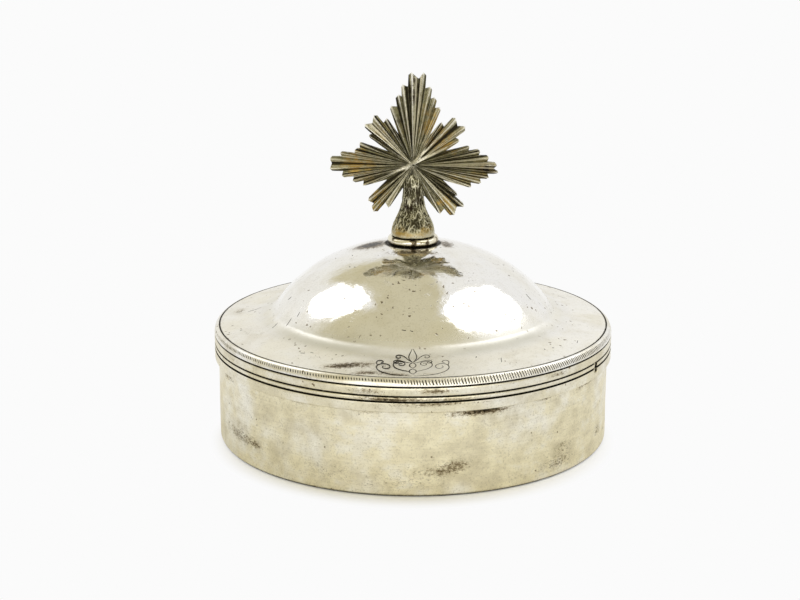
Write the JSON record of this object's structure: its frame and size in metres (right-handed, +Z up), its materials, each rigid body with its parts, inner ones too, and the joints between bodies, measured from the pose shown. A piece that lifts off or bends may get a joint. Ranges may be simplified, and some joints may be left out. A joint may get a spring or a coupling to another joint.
{
  "type": "host box",
  "caption": "Round silver box for altar breads with straight sides, a reeded rim and a lift-off domed lid that carries a cross of pleated rays on a flared stem.",
  "frame": {"origin": "centre of the ring that the box stands on", "axes": "+Z up along the axis of box and lid; the cross faces -Y and its arms point along X"},
  "size_m": [0.14, 0.14, 0.1277],
  "materials": {
    "silver_body": "brushed silver with light tarnish",
    "silver_lid": "polished silver with fine scratches and pits",
    "tarnished_silver": "cast silver gilt, dark in the hollows",
    "plain_silver": "plain satin silver"
  },
  "bodies": {
    "box": {"body_wall": "silver_body", "base_plate": "plain_silver", "body_band": "silver_body", "inner_bezel": "plain_silver"},
    "lid": {"lid_rim": "silver_body", "lid_dome": "silver_lid", "finial_collar": "silver_body", "cross_finial": "tarnished_silver", "finial_stud": "plain_silver", "finial_washer": "plain_silver", "finial_nut": "plain_silver"}
  },
  "joints": [
    {"name": "lid_lift", "type": "slide", "parent": "box", "child": "lid", "axis": [0, 0, 1], "range_m": [0, 0.06]}
  ]
}
